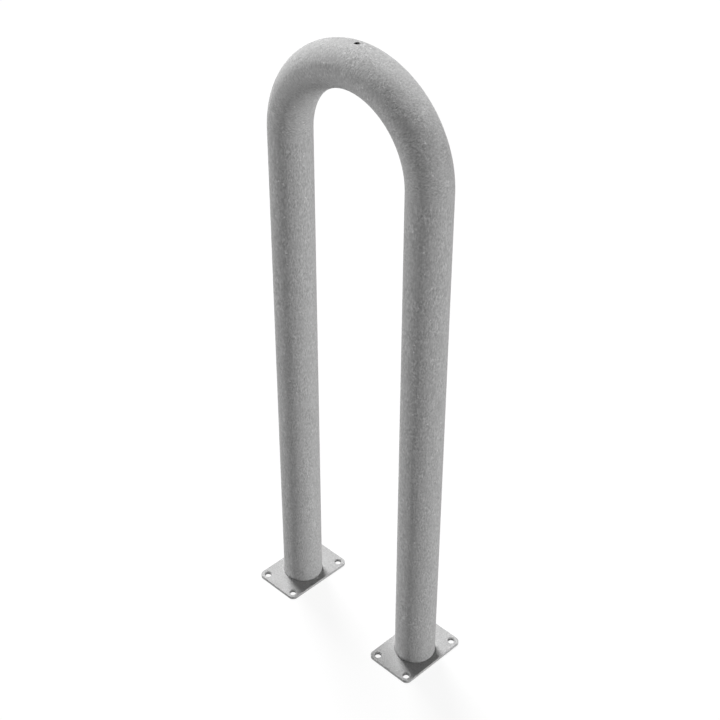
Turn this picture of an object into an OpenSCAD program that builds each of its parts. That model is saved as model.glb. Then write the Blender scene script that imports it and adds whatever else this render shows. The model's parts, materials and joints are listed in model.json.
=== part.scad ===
// Hoop barrier: one steel tube bent into an upright hoop, standing on two drilled base plates.
// The hoop stands in the XZ plane, with the ground at Z = 0 and the origin half way between the legs.
// Each foot of the tube is let into a round hole in its plate and welded from below, in a recess,
// so the top of the plate shows no bead, the underside stays flat and the bore is open for draining.

/* [Tube] */
// Outside diameter of the tube
tube_od = 76.1; // [60.3:0.1:88.9]
// Wall thickness of the tube
tube_wall = 3.2; // [2.6:0.1:5]
// Radius of the bend on the tube's centreline, which is half the distance between the legs
bend_r = 154.5; // [120:0.5:400]
// Height from the ground to the top of the bend
overall_h = 1173; // [600:1:1600]
// Diameter of the vent hole at the top of the bend
vent_d = 9; // [6:0.5:16]

/* [Base plates] */
// Size of a plate along the hoop
plate_w = 100; // [94:1:160]
// Size of a plate across the hoop
plate_l = 150; // [140:1:240]
// Thickness of a plate
plate_t = 6; // [5:0.5:12]
// Radius of a plate's corners
plate_corner_r = 11; // [4:1:18]
// Diameter of a bolt hole
bolt_d = 12; // [9:0.5:17]
// Width and depth of the chamfer round the top of a bolt hole
bolt_chamfer = 2; // [0.5:0.1:2.5]
// Distance from the centre of a bolt hole to the plate's edge, along the hoop
bolt_edge_x = 13.5; // [11:0.5:18]
// Distance from the centre of a bolt hole to the plate's edge, across the hoop
bolt_edge_y = 12.5; // [11:0.5:18]

/* [Feet] */
// Gap all round between the tube and the hole in its plate
foot_gap = 0.25; // [0.1:0.05:0.5]
// Height of the tube's cut end above the ground, which leaves a recess for the weld
foot_recess = 3; // [2.8:0.1:4]
// Leg length of the fillet weld in the recess
weld_leg = 2.5; // [1.5:0.1:2.7]
// How far the weld's face bulges past a straight line
weld_bulge = 0.3; // [0.1:0.05:0.5]

/* [Hidden] */
$fn = 96;

// Radius of the tube outside and of its bore
tube_r = tube_od / 2;
bore_r = tube_r - tube_wall;
// Height of the bend's centre, where the straight legs end
bend_z = overall_h - tube_r - bend_r;
// Radius of the round hole in a plate, which the tube's foot stands in
foot_hole_r = tube_r + foot_gap;
// Place of the bolt holes, from the middle of their plate
bolt_x = plate_w / 2 - bolt_edge_x;
bolt_y = plate_l / 2 - bolt_edge_y;
// How far a cutting tool runs past the face that it cuts
cut_over = 1;
// Number of points on the bulging face of a weld
weld_points = 7;

// The tube's wall, cut square across
module tube_section() {
    difference() {
        circle(r = tube_r);
        circle(r = bore_r);
    }
}

// One straight leg, from the cut end in its plate up to the bend. side is -1 for left and 1 for right.
module straight_leg(side) {
    translate([side * bend_r, 0, foot_recess])
        linear_extrude(bend_z - foot_recess)
            tube_section();
}

// The half circle that joins the legs
module top_bend() {
    translate([0, 0, bend_z])
        rotate([90, 0, 0])
            rotate_extrude(angle = 180)
                translate([bend_r, 0])
                    tube_section();
}

// The vent hole through the upper wall only, from the bore to the open air
module vent_hole() {
    translate([0, 0, overall_h - tube_r])
        cylinder(d = vent_d, h = tube_r + cut_over);
}

// The tube, bent from one length, with its vent
module hoop_tube() {
    color("darkgray")
        difference() {
            union() {
                straight_leg(-1);
                top_bend();
                straight_leg(1);
            }
            vent_hole();
        }
}

// A plate's outline: a rectangle with round corners
module plate_outline() {
    corner_x = plate_w / 2 - plate_corner_r;
    corner_y = plate_l / 2 - plate_corner_r;
    union() {
        square([plate_w, 2 * corner_y], center = true);
        square([2 * corner_x, plate_l], center = true);
        for (x = [-corner_x, corner_x], y = [-corner_y, corner_y])
            translate([x, y])
                circle(r = plate_corner_r);
    }
}

// A bolt hole, with a chamfer at 45 degrees round its top that runs on above the plate
module bolt_hole() {
    union() {
        translate([0, 0, -cut_over])
            cylinder(d = bolt_d, h = plate_t + 2 * cut_over);
        translate([0, 0, plate_t - bolt_chamfer])
            cylinder(r1 = bolt_d / 2, r2 = bolt_d / 2 + bolt_chamfer + cut_over, h = bolt_chamfer + cut_over);
    }
}

// One base plate, flat on the ground, with four bolt holes and the hole for the tube's foot
module base_plate(side) {
    color("silver")
        translate([side * bend_r, 0, 0])
            difference() {
                linear_extrude(plate_t)
                    plate_outline();
                for (x = [-bolt_x, bolt_x], y = [-bolt_y, bolt_y])
                    translate([x, y, 0])
                        bolt_hole();
                translate([0, 0, -cut_over])
                    cylinder(r = foot_hole_r, h = plate_t + 2 * cut_over);
            }
}

// The weld's section: a fillet in the corner between the plate's hole and the tube's cut end.
// The open face is a straight line that bulges out in the middle, as half a sine wave.
function weld_face(i) =
    let (share = i / (weld_points - 1), bulge = weld_bulge * sin(180 * share) / sqrt(2))
        [foot_hole_r - weld_leg * share - bulge, foot_recess - weld_leg * (1 - share) - bulge];

module foot_weld(side) {
    color("gray")
        translate([side * bend_r, 0, 0])
            rotate_extrude()
                polygon([[foot_hole_r, foot_recess], for (i = [0 : weld_points - 1]) weld_face(i)]);
}

hoop_tube();
base_plate(-1);  // left_base_plate
base_plate(1);  // right_base_plate
foot_weld(-1);  // left_foot_weld
foot_weld(1);  // right_foot_weld
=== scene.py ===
"""Looks of a hoop barrier: one bent steel tube on two bolted base plates, all hot-dip galvanised.

The tube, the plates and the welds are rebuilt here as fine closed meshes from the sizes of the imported
frame, and stand for its nodes. Lengths are in metres, in the frame's axes: X along the hoop, Y across
it and Z up, with the ground at zero.
"""
import json
import logging
import math
from abc import ABC, abstractmethod
from dataclasses import dataclass
from enum import Enum

import bmesh
import bpy
import numpy as np
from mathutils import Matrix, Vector


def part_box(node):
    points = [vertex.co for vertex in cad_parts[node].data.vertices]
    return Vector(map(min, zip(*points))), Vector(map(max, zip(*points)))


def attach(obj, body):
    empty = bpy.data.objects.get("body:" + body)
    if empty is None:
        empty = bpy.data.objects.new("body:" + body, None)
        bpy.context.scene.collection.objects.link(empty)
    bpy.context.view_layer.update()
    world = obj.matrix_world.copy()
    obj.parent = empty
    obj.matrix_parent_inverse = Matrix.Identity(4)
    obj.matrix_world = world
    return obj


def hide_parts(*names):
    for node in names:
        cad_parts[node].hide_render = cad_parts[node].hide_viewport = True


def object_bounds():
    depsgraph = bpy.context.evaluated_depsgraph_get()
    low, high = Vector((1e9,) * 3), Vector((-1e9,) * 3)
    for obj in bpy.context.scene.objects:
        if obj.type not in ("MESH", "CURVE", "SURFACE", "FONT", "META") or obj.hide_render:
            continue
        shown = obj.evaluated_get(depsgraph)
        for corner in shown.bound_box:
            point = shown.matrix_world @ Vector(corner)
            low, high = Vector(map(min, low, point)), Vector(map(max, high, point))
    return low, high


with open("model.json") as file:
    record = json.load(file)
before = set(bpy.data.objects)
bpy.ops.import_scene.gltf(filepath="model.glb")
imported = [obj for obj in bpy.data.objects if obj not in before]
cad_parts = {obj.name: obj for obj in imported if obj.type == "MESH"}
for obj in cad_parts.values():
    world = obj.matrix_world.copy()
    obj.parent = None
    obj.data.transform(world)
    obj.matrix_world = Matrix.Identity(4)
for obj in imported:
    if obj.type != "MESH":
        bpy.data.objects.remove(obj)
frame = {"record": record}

CAD_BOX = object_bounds()
MM = 0.001
BODY = "root"
# Outer radius of the tube, and radius of the hole in a plate that its foot stands in
TUBE_RADIUS = 38.05 * MM
FOOT_HOLE_RADIUS = 38.3 * MM
# Points closer than this are one point
SEAM_WIDTH = 0.002 * MM
# The largest weight that Blender lets a face's area have on its corners
FULL_WEIGHT = 100
# Attribute that holds where each point lay on the tube before it was bent
TUBE_PLACE = "tube_place"
# Middle value of fractal noise
NOISE_MIDDLE = 0.5
# Where a spot's edge starts and ends to fade, as shares of its radius
SPOT_FADE = (0.6, 1.3)
# Signs of x, y and z in the four quarters of a plate
QUARTERS = ((1, 1, 1), (-1, 1, 1), (1, -1, 1), (-1, -1, 1))
WHITE = (1, 1, 1, 1)
LOG = logging.getLogger("hoop_barrier")
Array = np.ndarray
Section = tuple[Array, Array]
Socket = bpy.types.NodeSocket


class Side(Enum):
    """The two feet of the hoop, as the camera sees them."""

    LEFT = "left"
    RIGHT = "right"


class Coordinates(Enum):
    """What the pattern of a finish follows."""

    OBJECT = "object"
    TUBE = "tube"


class Skin:
    """Grids of points that are sewn into one closed surface."""

    def __init__(self, name: str) -> None:
        """Starts an empty skin.

        Args:
            name: Name of the piece that the skin becomes.
        """
        self.name = name
        self._points: list[Array] = []
        self._quads: list[Array] = []
        self._total = 0

    def add(self, grid: Array, close_rows: bool = False, close_columns: bool = False,
            keep: Array | None = None) -> None:
        """Adds a grid, with one quad between each four neighbouring points.

        Args:
            grid: Points, in an array of rows by columns by 3.
            close_rows: Whether the last row is joined to the first.
            close_columns: Whether the last column is joined to the first.
            keep: Which quads are kept, or None for all of them.
        """
        rows, columns = grid.shape[:2]
        index = self._total + np.arange(rows * columns).reshape(rows, columns)
        if close_rows:
            index = np.vstack([index, index[:1]])
        if close_columns:
            index = np.hstack([index, index[:, :1]])
        quads = np.stack([index[:-1, :-1], index[1:, :-1], index[1:, 1:], index[:-1, 1:]], axis=-1)
        self._quads.append((quads if keep is None else quads[keep]).reshape(-1, 4))
        self._points.append(grid.reshape(-1, 3))
        self._total += rows * columns

    def sew(self) -> bpy.types.Object:
        """Drops the points without faces, welds the grids where they meet, and turns all faces outwards.

        Returns:
            The new piece, with smooth shading.
        """
        used, quads = np.unique(np.vstack(self._quads), return_inverse=True)
        points = np.vstack(self._points)[used]
        mesh = bpy.data.meshes.new(self.name)
        mesh.from_pydata(points.tolist(), [], quads.reshape(-1, 4).tolist())
        work = bmesh.new()
        work.from_mesh(mesh)
        bmesh.ops.remove_doubles(work, verts=work.verts, dist=SEAM_WIDTH)
        bmesh.ops.recalc_face_normals(work, faces=work.faces)
        work.to_mesh(mesh)
        work.free()
        mesh.shade_smooth()
        piece = bpy.data.objects.new(self.name, mesh)
        bpy.context.scene.collection.objects.link(piece)
        return piece


def quarter_turn(steps: int) -> Array:
    """Angles from 0 to 90 degrees, in radians.

    Args:
        steps: Number of steps between the two.

    Returns:
        The steps + 1 angles.
    """
    return np.linspace(0, math.pi / 2, steps + 1)


def mesh_points(mesh: bpy.types.Mesh) -> Array:
    """Reads the places of a mesh's points.

    Args:
        mesh: The mesh.

    Returns:
        An array of points by 3.
    """
    flat = np.zeros(len(mesh.vertices) * 3, np.float32)
    mesh.vertices.foreach_get("co", flat)
    return flat.reshape(-1, 3).astype(float)


def keep_flats_flat(piece: bpy.types.Object) -> None:
    """Lets large faces set the shading of their corners, so that only the rounded edges look round.

    Args:
        piece: The piece to finish.
    """
    weighting = piece.modifiers.new("flat faces first", "WEIGHTED_NORMAL")
    weighting.mode = "FACE_AREA"
    weighting.weight = FULL_WEIGHT
    weighting.keep_sharp = False


@dataclass(frozen=True)
class Spots:
    """Small round spots of a finish, one in each chosen cell of a random net.

    The tone is a share of the finish's grey, the metal is added to its Metallic value, and the rise is
    a share of the grain's height.
    """

    cells_per_metre: float
    radius: float
    chosen: float
    tone: float
    rise: float
    metal: float = 0.0


class Nodes:
    """Makes shader nodes and links them, so that a finish reads as a list of steps."""

    def __init__(self, tree: bpy.types.NodeTree) -> None:
        """Empties a node tree.

        Args:
            tree: The tree to fill.
        """
        self.tree = tree
        tree.nodes.clear()

    def add(self, kind: str, inputs: dict | None = None, **settings: object) -> bpy.types.Node:
        """Adds a node.

        Args:
            kind: Blender's name of the node's type.
            inputs: A value or another node's output for each input that is set.
            settings: Properties of the node.

        Returns:
            The new node.
        """
        node = self.tree.nodes.new(kind)
        for name, value in settings.items():
            setattr(node, name, value)
        for name, value in (inputs or {}).items():
            if isinstance(value, Socket):
                self.tree.links.new(value, node.inputs[name])
            else:
                node.inputs[name].default_value = value
        return node

    def math(self, operation: str, *values: Socket | float) -> Socket:
        """Adds a calculation.

        Args:
            operation: Blender's name of the operation.
            values: Numbers or outputs, in order.

        Returns:
            The result.
        """
        return self.add("ShaderNodeMath", dict(enumerate(values)), operation=operation).outputs[0]

    def total(self, start: float, *terms: tuple[Socket, float]) -> Socket:
        """Adds up values, each times its own factor.

        Args:
            start: Number that the sum starts from.
            terms: Each value with its factor.

        Returns:
            The sum.
        """
        result: Socket | float = start
        for value, factor in terms:
            result = self.math("MULTIPLY_ADD", value, factor, result)
        return result

    def blend(self, share: Socket, first: Socket, second: Socket) -> Socket:
        """Blends two values.

        Args:
            share: Share of the second value, from 0 to 1.
            first: The first value.
            second: The second value.

        Returns:
            The blended value.
        """
        return self.add("ShaderNodeMix", {0: share, 2: first, 3: second}, data_type="FLOAT").outputs[0]

    def scaled(self, vector: Socket, scale: tuple[float, float, float]) -> Socket:
        """Stretches coordinates.

        Args:
            vector: The coordinates.
            scale: Factor on each axis.

        Returns:
            The new coordinates.
        """
        return self.add("ShaderNodeMapping", {"Vector": vector, "Scale": scale}).outputs[0]

    def noise(self, vector: Socket, scale: float, detail: float, roughness: float = 0.5) -> Socket:
        """Adds fractal noise.

        Args:
            vector: The coordinates.
            scale: Waves in a metre.
            detail: Number of finer layers.
            roughness: Strength of each finer layer.

        Returns:
            The noise, from 0 to 1.
        """
        return self.add("ShaderNodeTexNoise", {"Vector": vector, "Scale": scale, "Detail": detail,
                                               "Roughness": roughness}).outputs[0]

    def remap(self, value: Socket, low: float, high: float, to_low: float = 0.0,
              to_high: float = 1.0) -> Socket:
        """Maps a range smoothly to another, and holds it there outside the range.

        Args:
            value: The value.
            low: Start of its range.
            high: End of its range.
            to_low: Result at the start.
            to_high: Result at the end.

        Returns:
            The mapped value.
        """
        return self.add("ShaderNodeMapRange", {"Value": value, "From Min": low, "From Max": high,
                                               "To Min": to_low, "To Max": to_high},
                        interpolation_type="SMOOTHSTEP").outputs[0]

    def scatter(self, vector: Socket, spots: Spots) -> Socket:
        """Scatters spots, one in each cell of the net whose random number is below the chosen share.

        Args:
            vector: The coordinates.
            spots: The kind of spots.

        Returns:
            1 inside a spot and 0 outside, with a soft edge.
        """
        net = self.add("ShaderNodeTexVoronoi", {"Vector": vector, "Scale": spots.cells_per_metre},
                       feature="F1")
        start, end = np.array(SPOT_FADE) * spots.radius * spots.cells_per_metre
        inside = self.remap(net.outputs["Distance"], start, end, 1.0, 0.0)
        lot = self.add("ShaderNodeSeparateColor", {"Color": net.outputs["Color"]}).outputs[0]
        return self.math("MULTIPLY", inside, self.math("LESS_THAN", lot, spots.chosen))


@dataclass(frozen=True)
class ZincFinish:
    """Hot-dip zinc: matt grey, with a fine grain that comes and goes in patches, pale flecks and pits.

    On the tube, the grain is drawn out a little along the straight legs, and round the tube inside
    the bend. Each tone is a share of the grey, and each metal is added to the Metallic value.
    """

    name: str
    slot: str
    coordinates: Coordinates
    grey: float = 0.5
    roughness: float = 0.65
    metallic: float = 0.02
    sheen_level: float = 0.2
    grain_per_metre: float = 340.0
    grain_tone: float = 1.08
    grain_metal: float = 0.42
    relief: float = 0.9 * MM
    grain_layers: float = 2.0
    calm_per_metre: float = 45.0
    calm_layers: float = 1.0
    calm_range: tuple[float, float] = (0.35, 0.65)
    calm_share: float = 0.6
    patch_per_metre: float = 75.0
    patch_layers: float = 3.0
    patch_roughness: float = 0.6
    patch_tone: float = 0.2
    patch_gloss: float = 0.14
    flecks: Spots = Spots(cells_per_metre=105.0, radius=1.5 * MM, chosen=0.3, tone=0.16, rise=0.3,
                          metal=0.3)
    pits: Spots = Spots(cells_per_metre=150.0, radius=0.75 * MM, chosen=0.2, tone=-0.15, rise=-0.4)
    wave_per_metre: float = 22.0
    wave_layers: float = 2.0
    wave_height: float = 1.6 * MM
    wave_scale: tuple[float, float, float] = (1.0, 1.0, 0.4)
    leg_scale: tuple[float, float, float] = (1.05, 1.05, 0.58)
    bend_scale: tuple[float, float, float] = (0.75, 0.75, 1.5)
    bend_end: float = 242.7 * MM
    bend_fade: float = 18 * MM

    def _place(self, nodes: Nodes) -> Socket:
        """Adds the coordinates that the pattern follows.

        Args:
            nodes: The material's nodes.

        Returns:
            The coordinates, in metres.
        """
        if self.coordinates is Coordinates.TUBE:
            return nodes.add("ShaderNodeAttribute", attribute_name=TUBE_PLACE).outputs["Vector"]
        return nodes.add("ShaderNodeTexCoord").outputs["Object"]

    def _grain(self, nodes: Nodes, place: Socket) -> Socket:
        """Adds the grain as it is before it is calmed in patches.

        On the tube it is blended from two: one for the straight legs and one for the bend.

        Args:
            nodes: The material's nodes.
            place: The coordinates.

        Returns:
            Noise from -0.5 to 0.5.
        """
        if self.coordinates is Coordinates.OBJECT:
            plain = nodes.noise(place, self.grain_per_metre, self.grain_layers)
            return nodes.math("SUBTRACT", plain, NOISE_MIDDLE)
        legs = nodes.noise(nodes.scaled(place, self.leg_scale), self.grain_per_metre, self.grain_layers)
        bend = nodes.noise(nodes.scaled(place, self.bend_scale), self.grain_per_metre, self.grain_layers)
        along = nodes.add("ShaderNodeSeparateXYZ", {"Vector": place}).outputs["Z"]
        past_bend = nodes.remap(nodes.math("ABSOLUTE", along), self.bend_end - self.bend_fade,
                                self.bend_end + self.bend_fade)
        return nodes.math("SUBTRACT", nodes.blend(past_bend, bend, legs), NOISE_MIDDLE)

    def make(self) -> bpy.types.Material:
        """Makes the material.

        With the grain g and the patches p about zero, flecks f and pits h, the grey is the finish's
        own times 1 + a g + b p + c f + d h, and Metallic is its own plus m g + n f, so that the grain
        and the flecks also catch the lamps. The height is that of g with the flecks standing out and
        the pits sunk in, over long low waves.

        Returns:
            The new material.
        """
        material = bpy.data.materials.new(self.name)
        material.use_nodes = True
        nodes = Nodes(material.node_tree)
        place = self._place(nodes)
        calm = nodes.noise(place, self.calm_per_metre, self.calm_layers)
        lively = nodes.remap(calm, *self.calm_range, self.calm_share, 1.0)
        grain = nodes.math("MULTIPLY", self._grain(nodes, place), lively)
        patchy = nodes.noise(place, self.patch_per_metre, self.patch_layers, self.patch_roughness)
        patches = nodes.math("SUBTRACT", patchy, NOISE_MIDDLE)
        flecks = nodes.scatter(place, self.flecks)
        pits = nodes.scatter(place, self.pits)
        waves = nodes.noise(nodes.scaled(place, self.wave_scale), self.wave_per_metre, self.wave_layers)
        shade = nodes.total(1.0, (grain, self.grain_tone), (patches, self.patch_tone),
                            (flecks, self.flecks.tone), (pits, self.pits.tone))
        gloss = nodes.total(self.roughness, (patches, self.patch_gloss))
        metal = nodes.total(self.metallic, (grain, self.grain_metal), (flecks, self.flecks.metal))
        height = nodes.total(0.0, (grain, 1.0), (flecks, self.flecks.rise), (pits, self.pits.rise))
        wavy = nodes.add("ShaderNodeBump", {"Height": waves, "Distance": self.wave_height})
        rough = nodes.add("ShaderNodeBump", {"Height": height, "Distance": self.relief,
                                             "Normal": wavy.outputs[0]})
        shader = nodes.add("ShaderNodeBsdfPrincipled",
                           {"Base Color": nodes.math("MULTIPLY", shade, self.grey), "Roughness": gloss,
                            "Metallic": nodes.math("MAXIMUM", metal, 0.0),
                            "Specular IOR Level": self.sheen_level, "Normal": rough.outputs[0]})
        nodes.add("ShaderNodeOutputMaterial", {"Surface": shader.outputs[0]})
        return material


class GalvanisedPart(ABC):
    """What the parts share: each is built as one piece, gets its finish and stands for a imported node."""

    node: str
    finish: ZincFinish

    @abstractmethod
    def build(self) -> bpy.types.Object:
        """Builds the part's mesh."""

    def dress(self, piece: bpy.types.Object) -> None:
        """Gives the piece its finish, its body and the node that it stands for.

        Args:
            piece: The part's piece.
        """
        material = bpy.data.materials.get(self.finish.name) or self.finish.make()
        piece.data.materials.append(material)
        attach(piece, BODY)
        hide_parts(self.node)
        LOG.info("%s stands for %s, with %d faces", piece.name, self.node, len(piece.data.polygons))


@dataclass(frozen=True)
class HoopTube(GalvanisedPart):
    """The bent tube: its skin, its bore, its cut ends and the vent hole in its crown.

    A point of the tube is given by its distance along the centreline from the crown, its distance from
    the centreline, and its angle round it, which is 0 on the outside of the bend. The vent hole is set
    into a window in the grid, which reaches window_rows and window_columns to each side of the crown.
    """

    bend_radius: float
    bend_height: float
    foot_height: float
    tube_radius: float = TUBE_RADIUS
    wall: float = 3.2 * MM
    vent_radius: float = 4.5 * MM
    vent_rounding: float = 0.7 * MM
    end_rounding: float = 0.4 * MM
    columns: int = 128
    leg_rows: int = 44
    bend_rows: int = 160
    window_rows: int = 3
    window_columns: int = 6
    vent_rings: int = 6
    rounding_steps: int = 5
    node: str = "hoop_tube"
    finish: ZincFinish = ZincFinish("zinc_tube", "galvanised_tube", Coordinates.TUBE)

    @classmethod
    def from_frame(cls) -> "HoopTube":
        """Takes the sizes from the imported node. The vent hole cuts off the very top of the crown,
        by R - sqrt(R^2 - a^2), where R is the outer radius of the bend and a that of the hole.

        Returns:
            The tube at its real size.
        """
        low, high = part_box("hoop_tube")
        outer_radius = (high.x - low.x) / 2
        cut_off = outer_radius - math.sqrt(outer_radius ** 2 - cls.vent_radius ** 2)
        return cls(bend_radius=outer_radius - TUBE_RADIUS, bend_height=high.z + cut_off - outer_radius,
                   foot_height=low.z)

    @property
    def bore_radius(self) -> float:
        """Radius of the bore."""
        return self.tube_radius - self.wall

    @property
    def half_bend(self) -> float:
        """Length of the centreline from the crown to the end of the bend."""
        return self.bend_radius * math.pi / 2

    @property
    def half_length(self) -> float:
        """Length of the centreline from the crown to a cut end."""
        return self.half_bend + self.bend_height - self.foot_height

    def surface(self, along: Array, radius: Array, angle: Array) -> Array:
        """Places points of the tube in space.

        With t = along / R inside the bend, the outward direction is e = (sin t, 0, cos t), and the
        point is (0, 0, h) + (R + r cos a) e + r sin a (0, 1, 0). Past the bend, e stays level and the
        point drops by the rest of along.

        Args:
            along: Distance from the crown along the centreline.
            radius: Distance r from the centreline.
            angle: Angle a round the centreline, in radians.

        Returns:
            The points, with 3 as the last size of the array.
        """
        along, radius, angle = np.broadcast_arrays(along, radius, angle)
        in_bend = np.clip(along, -self.half_bend, self.half_bend)
        turn = in_bend / self.bend_radius
        reach = self.bend_radius + radius * np.cos(angle)
        drop = np.abs(along) - np.abs(in_bend)
        return np.stack([reach * np.sin(turn), radius * np.sin(angle),
                         self.bend_height + reach * np.cos(turn) - drop], axis=-1)

    def straightened(self, points: Array) -> Array:
        """Gives each point its place on the tube as it was before bending, for the finish to follow.

        Inside the bend this is (d - R, y, R atan2(x, z - h)), where d is the distance from the axis of
        the bend, and past it (|x| - R, y, half the bend + h - z with the sign of x).

        Args:
            points: Points in space.

        Returns:
            Points with the tube's length along Z and the crown at zero.
        """
        x, y, z = points.T
        rise = z - self.bend_height
        in_bend = rise > 0
        out = np.where(in_bend, np.hypot(x, rise), np.abs(x)) - self.bend_radius
        along = np.where(in_bend, self.bend_radius * np.arctan2(x, np.maximum(rise, 0)),
                         np.sign(x) * (self.half_bend - rise))
        return np.stack([out, y, along], axis=-1)

    def _section(self) -> Section:
        """Walks once round the wall: out along the skin, across one cut end, back along the bore and
        across the other end, with rounded corners.

        With q the corners' radius and t from 0 to 90 degrees, a corner's points lie q (1 - sin t) short
        of the cut end and q (1 - cos t) into the wall.

        Returns:
            The distance along the centreline and the distance from it, for each row of the grid.
        """
        rounding = self.end_rounding
        leg = np.linspace(self.half_bend, self.half_length - rounding, self.leg_rows + 1)
        bend = np.linspace(-self.half_bend, self.half_bend, self.bend_rows + 1)
        skin = np.concatenate([-leg[:0:-1], bend, leg[1:]])
        turn = quarter_turn(self.rounding_steps)
        corner_along = self.half_length - rounding * (1 - np.sin(turn))
        corner_drop = rounding * (1 - np.cos(turn))
        end_radius = np.concatenate([self.tube_radius - corner_drop[1:],
                                     self.bore_radius + corner_drop[-1:0:-1]])
        end_along = np.concatenate([corner_along[1:], corner_along[-1:0:-1]])
        along = np.concatenate([skin, end_along, skin[::-1], -end_along])
        radius = np.concatenate([np.full(skin.size, self.tube_radius), end_radius,
                                 np.full(skin.size, self.bore_radius), end_radius[::-1]])
        return along, radius

    def _window_border(self) -> tuple[Array, Array]:
        """Walks round the window that is left open for the vent hole.

        Returns:
            The distance along the centreline and the angle of each point of the window's border.
        """
        half_along = self.window_rows * 2 * self.half_bend / self.bend_rows
        half_angle = self.window_columns * 2 * math.pi / self.columns
        along = np.linspace(-half_along, half_along, 2 * self.window_rows + 1)
        angle = np.linspace(-half_angle, half_angle, 2 * self.window_columns + 1)
        border_along = np.concatenate([along, np.full(angle.size - 2, half_along), along[::-1],
                                       np.full(angle.size - 2, -half_along)])
        border_angle = np.concatenate([np.full(along.size, -half_angle), angle[1:-1],
                                       np.full(along.size, half_angle), angle[-2:0:-1]])
        return border_along, border_angle

    def _on_crown(self, plan: Array, radius: float) -> Array:
        """Lifts points in plan onto the tube near the crown.

        The height is z = h + sqrt((R + sqrt(r^2 - y^2))^2 - x^2).

        Args:
            plan: The points' x and y.
            radius: Radius r of the skin or of the bore.

        Returns:
            The points in space.
        """
        x, y = plan[..., 0], plan[..., 1]
        reach = self.bend_radius + np.sqrt(radius ** 2 - y ** 2)
        return np.stack([x, y, self.bend_height + np.sqrt(reach ** 2 - x ** 2)], axis=-1)

    def _vent(self) -> Array:
        """The vent hole: rings from the window's border in to the rim, over the rounded rim, down the
        wall, over the bore's rim and out to the border of the window in the bore.

        Returns:
            A grid whose columns close on themselves.
        """
        along, angle = self._window_border()
        skin_border = self.surface(along, self.tube_radius, angle)[:, :2]
        bore_border = self.surface(along, self.bore_radius, angle)[:, :2]
        heading = np.arctan2(skin_border[:, 1], skin_border[:, 0])
        spoke = np.stack([np.cos(heading), np.sin(heading)], axis=-1)
        share = np.linspace(0, 1, self.vent_rings + 1)[:, None, None]
        rim = (self.vent_radius + self.vent_rounding) * spoke
        skin = self._on_crown(skin_border + share * (rim - skin_border), self.tube_radius)
        bore = self._on_crown(rim + share * (bore_border - rim), self.bore_radius)
        turn = quarter_turn(self.rounding_steps)[:, None]
        across = (self.vent_radius + self.vent_rounding * (1 - np.sin(turn)))[..., None] * spoke
        depth = self.vent_rounding * (1 - np.cos(turn))
        upper = np.concatenate([across, (skin[-1, :, 2] - depth)[..., None]], axis=-1)
        lower = np.concatenate([across, (bore[0, :, 2] + depth)[..., None]], axis=-1)
        return np.concatenate([skin, upper[1:], lower[:0:-1], bore])

    def build(self) -> bpy.types.Object:
        """Builds the tube's mesh, with its straightened place as an attribute.

        Returns:
            The new piece.
        """
        along, radius = self._section()
        angle = np.linspace(-math.pi, math.pi, self.columns, endpoint=False)
        grid = self.surface(along[:, None], radius[:, None], angle[None, :])
        middle_along = (along + np.roll(along, -1)) / 2
        middle_angle = angle + math.pi / self.columns
        border_along, border_angle = self._window_border()
        keep = ((np.abs(middle_along)[:, None] > border_along.max())
                | (np.abs(middle_angle)[None, :] > border_angle.max()))
        skin = Skin("galvanised_hoop")
        skin.add(grid, close_rows=True, close_columns=True, keep=keep)
        skin.add(self._vent(), close_columns=True)
        piece = skin.sew()
        place = self.straightened(mesh_points(piece.data))
        layer = piece.data.attributes.new(TUBE_PLACE, "FLOAT_VECTOR", "POINT")
        layer.data.foreach_set("vector", place.astype(np.float32).ravel())
        keep_flats_flat(piece)
        return piece


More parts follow.
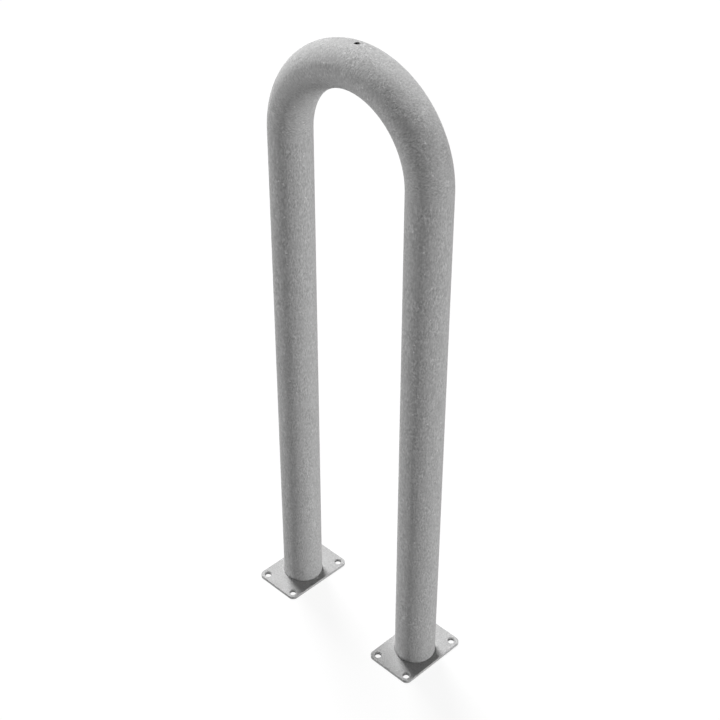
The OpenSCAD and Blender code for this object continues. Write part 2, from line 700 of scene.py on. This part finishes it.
@dataclass(frozen=True)
class BasePlate(GalvanisedPart):
    """One base plate: a rectangle with round corners, four bolt holes and a hole for the foot.

    A quarter of the plate is worked out and mirrored. It has a cell round its bolt hole, and the rest
    lies round the foot's hole.
    """

    side: Side
    centre_x: float
    width: float
    length: float
    thickness: float
    bolt_pitch_x: float
    bolt_pitch_y: float
    bolt_radius: float
    corner_radius: float = 11 * MM
    foot_radius: float = FOOT_HOLE_RADIUS
    bolt_chamfer: float = 2.0 * MM
    chamfer_rounding: float = 0.5 * MM
    edge_rounding: float = 0.4 * MM
    foot_rounding: float = 1.3 * MM
    cell_margin: float = 11 * MM
    point_spacing: float = 2.4 * MM
    corner_steps: int = 14
    face_rings: int = 8
    rounding_steps: int = 5
    finish: ZincFinish = ZincFinish("zinc_plate", "galvanised_plate", Coordinates.OBJECT, grain_tone=0.9,
                                    relief=0.7 * MM)

    @property
    def node(self) -> str:
        """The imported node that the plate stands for."""
        return f"{self.side.value}_base_plate"

    @classmethod
    def from_frame(cls, side: Side) -> "BasePlate":
        """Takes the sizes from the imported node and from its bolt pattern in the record.

        Args:
            side: Which foot the plate is under.

        Returns:
            The plate at its real size.
        """
        low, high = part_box(f"{side.value}_base_plate")
        mounts = {mount["name"]: mount for mount in frame["record"]["mounts"]}
        bolts = mounts[f"{side.value}_foot_bolts"]["dims"]
        return cls(side=side, centre_x=(low.x + high.x) / 2, width=high.x - low.x,
                   length=high.y - low.y, thickness=high.z - low.z,
                   bolt_pitch_x=bolts["spacing_x_mm"] * MM, bolt_pitch_y=bolts["spacing_y_mm"] * MM,
                   bolt_radius=bolts["hole_r_mm"] * MM)

    @property
    def _cell_corner(self) -> Array:
        """Inner corner of the cell round the bolt hole."""
        return np.array([self.bolt_pitch_x / 2, self.bolt_pitch_y / 2]) - self.cell_margin

    def _line(self, start: Array, end: Array) -> Array:
        """Points along a straight line, at about the plate's point spacing.

        Args:
            start: First point.
            end: Last point.

        Returns:
            The points, both ends included.
        """
        start, end = np.asarray(start, float), np.asarray(end, float)
        steps = max(1, round(float(np.linalg.norm(end - start)) / self.point_spacing))
        return start + np.linspace(0, 1, steps + 1)[:, None] * (end - start)

    def _outline(self, inset: float) -> tuple[Array, Array, Array]:
        """A quarter of the plate's outline, moved in by an inset, from the X axis to the Y axis.

        Its corner is an arc about a fixed point, whose radius is the corner's own less the inset.

        Args:
            inset: Distance inside the true outline.

        Returns:
            The part below the bolt hole's cell, the part along the cell and the part past it. Each has
            the same number of points at any inset.
        """
        half_w, half_l, corner = self.width / 2, self.length / 2, self.corner_radius
        cell_x, cell_y = self._cell_corner
        shift_x, shift_y = np.array([inset, 0]), np.array([0, inset])
        below = self._line((half_w, 0), (half_w, cell_y)) - shift_x
        upright = self._line((half_w, cell_y), (half_w, half_l - corner)) - shift_x
        turn = quarter_turn(self.corner_steps)[:, None]
        arc = (np.array([half_w - corner, half_l - corner])
               + (corner - inset) * np.hstack([np.cos(turn), np.sin(turn)]))
        level = self._line((half_w - corner, half_l), (cell_x, half_l)) - shift_y
        past = self._line((cell_x, half_l), (0, half_l)) - shift_y
        return below, np.vstack([upright, arc[1:], level[1:]]), past

    def _rounded_wall(self, upper: float) -> Section:
        """A wall's section from the top face to the underside, with both edges rounded.

        With r an edge's radius and t from 0 to 90 degrees, its points lie r (1 - sin t) back from the
        wall and r (1 - cos t) from the face.

        Args:
            upper: Radius of the upper edge. The lower one has the plate's edge rounding.

        Returns:
            The distance back from the wall's face, and the height.
        """
        turn = quarter_turn(self.rounding_steps)
        back, down = 1 - np.sin(turn), 1 - np.cos(turn)
        return (np.concatenate([upper * back, self.edge_rounding * back[::-1]]),
                np.concatenate([self.thickness - upper * down, self.edge_rounding * down[::-1]]))

    def _bolt_wall(self) -> Section:
        """The section of a bolt hole, with a chamfer at 45 degrees round its top.

        With c the chamfer's width, q its rounding, T the thickness and k = tan(22.5 degrees), the upper
        corner is an arc about (c + k q, T - q) and the lower one an arc about (q, T - c - k q).

        Returns:
            The distance back from the bore, and the height.
        """
        turn = quarter_turn(self.rounding_steps) / 2
        rounding = self.chamfer_rounding
        slack = rounding * math.tan(math.pi / 8)
        lower_centre = self.thickness - self.bolt_chamfer - slack
        back, height = self._rounded_wall(self.edge_rounding)
        below = slice(self.rounding_steps + 1, None)
        back = np.concatenate([self.bolt_chamfer + slack - rounding * np.sin(turn),
                               rounding * (1 - np.cos(turn[::-1])), back[below]])
        height = np.concatenate([self.thickness - rounding * (1 - np.cos(turn)),
                                 lower_centre + rounding * np.sin(turn[::-1]), height[below]])
        return back, height

    def _quarter(self) -> list[Array]:
        """Works out the grids of the quarter with positive x and y.

        A ring grid runs from a hole's rim to the loop round it: p = c + s (l - c), where c is the rim's
        point in the direction of the loop's point l, and s goes from 0 to 1.

        Returns:
            The grids of the faces, the outer edge and the holes' walls.
        """
        below, along_cell, past = self._outline(self.edge_rounding)
        cell_x, cell_y = self._cell_corner
        upright = self._line((cell_x, past[0, 1]), (cell_x, cell_y))
        level = self._line((cell_x, cell_y), (below[-1, 0], cell_y))
        cell_loop = np.vstack([along_cell, upright[1:], level[1:]])
        rest_loop = np.vstack([below, level[-2::-1], upright[-2::-1], past[1:]])
        bolt_centre = np.array([self.bolt_pitch_x / 2, self.bolt_pitch_y / 2])
        holes = [(cell_loop, bolt_centre, self.bolt_radius, self._bolt_wall()),
                 (rest_loop, np.zeros(2), self.foot_radius, self._rounded_wall(self.foot_rounding))]
        share = np.linspace(0, 1, self.face_rings + 1)[:, None, None]
        grids = []
        for loop, centre, radius, (back, height) in holes:
            spoke = loop - centre
            spoke = spoke / np.linalg.norm(spoke, axis=1, keepdims=True)
            for end in (0, -1):
                rim = centre + (radius + back[end]) * spoke
                grids.append(self._at_height(rim + share * (loop - rim), height[end]))
            wall = centre + (radius + back)[:, None, None] * spoke
            grids.append(self._at_height(wall, height[:, None]))
        back, height = self._rounded_wall(self.edge_rounding)
        edge = np.stack([np.vstack([low, cell[1:], rest[1:]])
                         for low, cell, rest in map(self._outline, back)])
        grids.append(self._at_height(edge, height[:, None]))
        return grids

    @staticmethod
    def _at_height(plan: Array, height: float | Array) -> Array:
        """Adds a height to points in plan.

        Args:
            plan: The points' x and y.
            height: One height, or one for each row.

        Returns:
            The points in space.
        """
        return np.concatenate([plan, np.broadcast_to(height, plan.shape[:-1])[..., None]], axis=-1)

    def build(self) -> bpy.types.Object:
        """Mirrors the quarter to all four and sews them together.

        Returns:
            The new piece.
        """
        skin = Skin(f"galvanised_{self.side.value}_plate")
        for grid in self._quarter():
            for signs in QUARTERS:
                skin.add(grid * np.array(signs) + np.array([self.centre_x, 0, 0]))
        piece = skin.sew()
        keep_flats_flat(piece)
        return piece


@dataclass(frozen=True)
class FootWeld(GalvanisedPart):
    """The fillet weld that holds a foot in its plate, seen from underneath, with its ripples."""

    side: Side
    centre_x: float
    leg: float
    low: float
    radius: float = FOOT_HOLE_RADIUS
    bulge: float = 0.3 * MM
    ripple_depth: float = 0.5
    ripple_curve: float = 2.2
    ripples: int = 78
    points_per_ripple: int = 6
    face_points: int = 13
    finish: ZincFinish = ZincFinish("zinc_weld", "galvanised_weld", Coordinates.OBJECT, grey=0.46)

    @property
    def node(self) -> str:
        """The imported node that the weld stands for."""
        return f"{self.side.value}_foot_weld"

    @classmethod
    def from_frame(cls, side: Side) -> "FootWeld":
        """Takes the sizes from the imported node.

        Args:
            side: Which foot the weld holds.

        Returns:
            The weld at its real size.
        """
        low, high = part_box(f"{side.value}_foot_weld")
        return cls(side=side, centre_x=(low.x + high.x) / 2, leg=high.z - low.z, low=low.z)

    def build(self) -> bpy.types.Object:
        """Carries the bead's section round the foot.

        The open face runs from (R, z) to (R - l, z + l). It swells by b sin(pi s) w, where s is the
        share of the way and w = 1 - d (1 + cos(n a + c (2 s - 1)^2)) / 2 makes n curved ripples in one
        turn of the angle a.

        Returns:
            The new piece.
        """
        angle = np.linspace(0, 2 * math.pi, self.ripples * self.points_per_ripple, endpoint=False)
        share = np.linspace(0, 1, self.face_points)[:, None]
        phase = self.ripples * angle + self.ripple_curve * (2 * share - 1) ** 2
        ripple = 1 - self.ripple_depth * (1 + np.cos(phase)) / 2
        swell = self.bulge * np.sin(math.pi * share) * ripple / math.sqrt(2)
        radius = self.radius - self.leg * share - swell
        height = self.low + self.leg * share - swell
        root_radius = np.full((1, angle.size), self.radius)
        root_height = np.full((1, angle.size), self.low + self.leg)
        radius = np.vstack([radius, root_radius])
        height = np.vstack([height, root_height])
        grid = np.stack([self.centre_x + radius * np.cos(angle), radius * np.sin(angle), height],
                        axis=-1)
        skin = Skin(f"galvanised_{self.side.value}_weld")
        skin.add(grid, close_rows=True, close_columns=True)
        return skin.sew()


@dataclass(frozen=True)
class Camera:
    """The camera of the photograph, worked out from the hoop's outline, plates and holes.

    Its azimuth is counted anticlockwise from the front of the hoop, seen from above.
    """

    azimuth: float = 45.0
    elevation: float = 35.264
    distance: float = 2.4585
    lens_mm: float = 71.2
    sensor_mm: float = 36.0
    shift_x: float = 0.0038
    shift_y: float = 0.0065

    def make(self, aim: Vector) -> None:
        """Places the camera and makes it the scene's own.

        Args:
            aim: The point in the middle of its view, before the shift.
        """
        data = bpy.data.cameras.new("photograph")
        data.lens = self.lens_mm
        data.sensor_width = self.sensor_mm
        data.shift_x = self.shift_x
        data.shift_y = self.shift_y
        azimuth, elevation = math.radians(self.azimuth), math.radians(self.elevation)
        back = Vector((math.sin(azimuth) * math.cos(elevation),
                       -math.cos(azimuth) * math.cos(elevation), math.sin(elevation)))
        camera = bpy.data.objects.new("photograph", data)
        camera.location = aim + self.distance * back
        camera.rotation_euler = back.to_track_quat("Z", "Y").to_euler()
        bpy.context.scene.collection.objects.link(camera)
        bpy.context.scene.camera = camera


@dataclass(frozen=True)
class SoftLamp:
    """A large lamp far away, seen from the object as a disc that is so many degrees across.

    Its azimuth is counted anticlockwise from the X axis, seen from above.
    """

    name: str
    azimuth: float
    elevation: float
    strength: float
    disc: float

    def make(self) -> None:
        """Places the lamp."""
        azimuth, elevation = math.radians(self.azimuth), math.radians(self.elevation)
        back = Vector((math.cos(azimuth) * math.cos(elevation), math.sin(azimuth) * math.cos(elevation),
                       math.sin(elevation)))
        data = bpy.data.lights.new(self.name, "SUN")
        data.energy = self.strength
        data.angle = math.radians(self.disc)
        lamp = bpy.data.objects.new(self.name, data)
        lamp.rotation_euler = back.to_track_quat("Z", "Y").to_euler()
        bpy.context.scene.collection.objects.link(lamp)


@dataclass(frozen=True)
class Studio:
    """A white studio: a high lamp behind the hoop on the left, three low lamps and a white floor.

    The light that a white floor would throw back comes from the world's lower half.
    """

    lamps: tuple[SoftLamp, ...] = (
        SoftLamp("high_lamp", azimuth=157, elevation=62, strength=3.35, disc=14),
        SoftLamp("right_lamp", azimuth=24, elevation=4, strength=1.69, disc=8),
        SoftLamp("left_lamp", azimuth=207, elevation=4, strength=1.43, disc=30),
        SoftLamp("front_lamp", azimuth=300, elevation=4, strength=0.4, disc=24),
    )
    bounce: float = 0.218
    floor_half_size: float = 20.0
    floor_drop: float = 0.2 * MM
    floor_glow: float = 0.92
    floor_grey: float = 0.1

    def _seen(self, nodes: Nodes) -> Socket:
        """Adds the test for what the eye sees, also in a reflection or through a clear material.

        Args:
            nodes: The world's nodes.

        Returns:
            1 for such rays, and else 0.
        """
        path = nodes.add("ShaderNodeLightPath").outputs
        seen = nodes.math("MAXIMUM", path["Is Camera Ray"], path["Is Glossy Ray"])
        return nodes.math("MAXIMUM", seen, path["Is Transmission Ray"])

    def _world(self) -> None:
        """Makes the world white to the eye, with a weak light from its lower half."""
        world = bpy.data.worlds.new("white_studio")
        bpy.context.scene.world = world
        world.use_nodes = True
        nodes = Nodes(world.node_tree)
        direction = nodes.add("ShaderNodeTexCoord").outputs["Generated"]
        height = nodes.add("ShaderNodeSeparateXYZ", {"Vector": direction}).outputs["Z"]
        bounced = nodes.math("MULTIPLY", nodes.math("LESS_THAN", height, 0.0), self.bounce)
        strength = nodes.math("MAXIMUM", self._seen(nodes), bounced)
        light = nodes.add("ShaderNodeBackground", {"Color": WHITE, "Strength": strength})
        nodes.add("ShaderNodeOutputWorld", {"Surface": light.outputs[0]})

    def _floor_material(self) -> bpy.types.Material:
        """Makes the floor's material: white from above, with the object's shadow, and clear from below.

        Its glow makes it nearly white, and its matt grey, which the lamps light, adds the rest and
        takes the shadow.

        Returns:
            The new material.
        """
        material = bpy.data.materials.new("white_floor")
        material.use_nodes = True
        nodes = Nodes(material.node_tree)
        grey = self.floor_grey
        glow = nodes.add("ShaderNodeEmission", {"Color": WHITE, "Strength": self.floor_glow})
        matt = nodes.add("ShaderNodeBsdfDiffuse", {"Color": (grey, grey, grey, 1)})
        top = nodes.add("ShaderNodeAddShader", {0: glow.outputs[0], 1: matt.outputs[0]})
        clear = nodes.add("ShaderNodeBsdfTransparent")
        under = nodes.add("ShaderNodeNewGeometry").outputs["Backfacing"]
        mix = nodes.add("ShaderNodeMixShader", {0: under, 1: top.outputs[0], 2: clear.outputs[0]})
        nodes.add("ShaderNodeOutputMaterial", {"Surface": mix.outputs[0]})
        return material

    def _floor(self) -> None:
        """Lays the floor a hair below the plates. Only what is seen of it comes from it: the lamps and
        the world's lower half light the object through it."""
        half, depth = self.floor_half_size, -self.floor_drop
        mesh = bpy.data.meshes.new("floor")
        mesh.from_pydata([(-half, -half, depth), (half, -half, depth), (half, half, depth),
                          (-half, half, depth)], [], [(0, 1, 2, 3)])
        mesh.materials.append(self._floor_material())
        floor = bpy.data.objects.new("floor", mesh)
        floor.visible_diffuse = False
        floor.visible_shadow = False
        bpy.context.scene.collection.objects.link(floor)

    def make(self) -> None:
        """Sets up the lamps, the world and the floor."""
        bpy.context.scene.view_settings.view_transform = "Standard"
        self._world()
        self._floor()
        for lamp in self.lamps:
            lamp.make()


def main() -> None:
    """Builds the camera, the studio, the hoop, its plates and its welds."""
    logging.basicConfig(level=logging.INFO, format="%(name)s: %(message)s")
    low, high = CAD_BOX
    Camera().make(Vector((0, 0, (low.z + high.z) / 2)))
    Studio().make()
    parts: list[GalvanisedPart] = [HoopTube.from_frame()]
    for side in Side:
        parts += [BasePlate.from_frame(side), FootWeld.from_frame(side)]
    for part in parts:
        part.dress(part.build())


if __name__ == "__main__":
    main()
